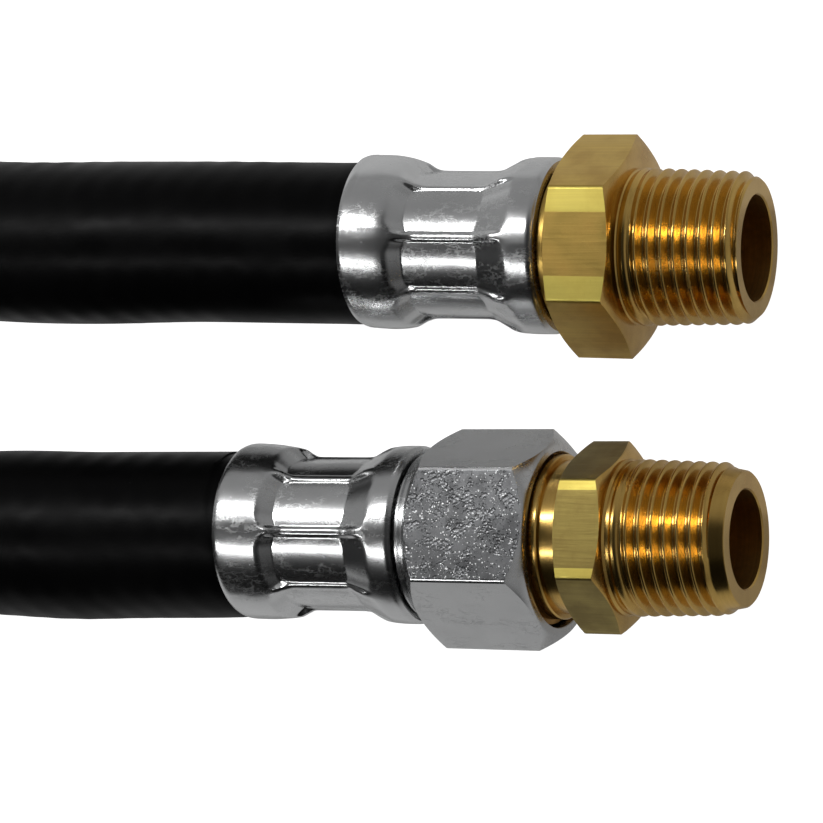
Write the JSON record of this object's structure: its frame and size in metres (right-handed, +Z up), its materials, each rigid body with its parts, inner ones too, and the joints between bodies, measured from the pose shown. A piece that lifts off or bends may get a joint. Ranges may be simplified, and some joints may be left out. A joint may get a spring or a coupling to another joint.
{
  "type": "air hose assembly",
  "caption": "Rubber air hose with a fixed male threaded end and a swivel male threaded end, both crimped.",
  "frame": {"origin": "middle of the whole outline on the floor it lies on", "axes": "+X from the hose's loop towards the threaded ends, +Y from the swivel end towards the fixed end, +Z up from the floor"},
  "size_m": [0.4493, 0.2592, 0.0298],
  "materials": {
    "hose_rubber": "smooth black rubber cover, lightly rippled by the braid under it",
    "plated_steel": "bright zinc plating with fine scratches",
    "galvanised_steel": "zinc plating, pitted on the wrench flats",
    "brass": "machined brass, drawn streaks on the flats",
    "seal_rubber": "plain black"
  },
  "bodies": {
    "hose_assembly": {"hose": "hose_rubber", "fixed_ferrule": "plated_steel", "fixed_fitting": "brass", "swivel_ferrule": "plated_steel", "swivel_stem": "plated_steel", "swivel_nut": "galvanised_steel"},
    "adapter": {"swivel_adapter": "brass", "seal_ring": "seal_rubber"}
  },
  "joints": [
    {"name": "adapter_spin", "type": "hinge", "parent": "hose_assembly", "child": "adapter", "pos_m": [0.19656, -0.02028, 0.01525], "axis": [0.9991, 0.0152, 0.0401], "continuous": true}
  ]
}
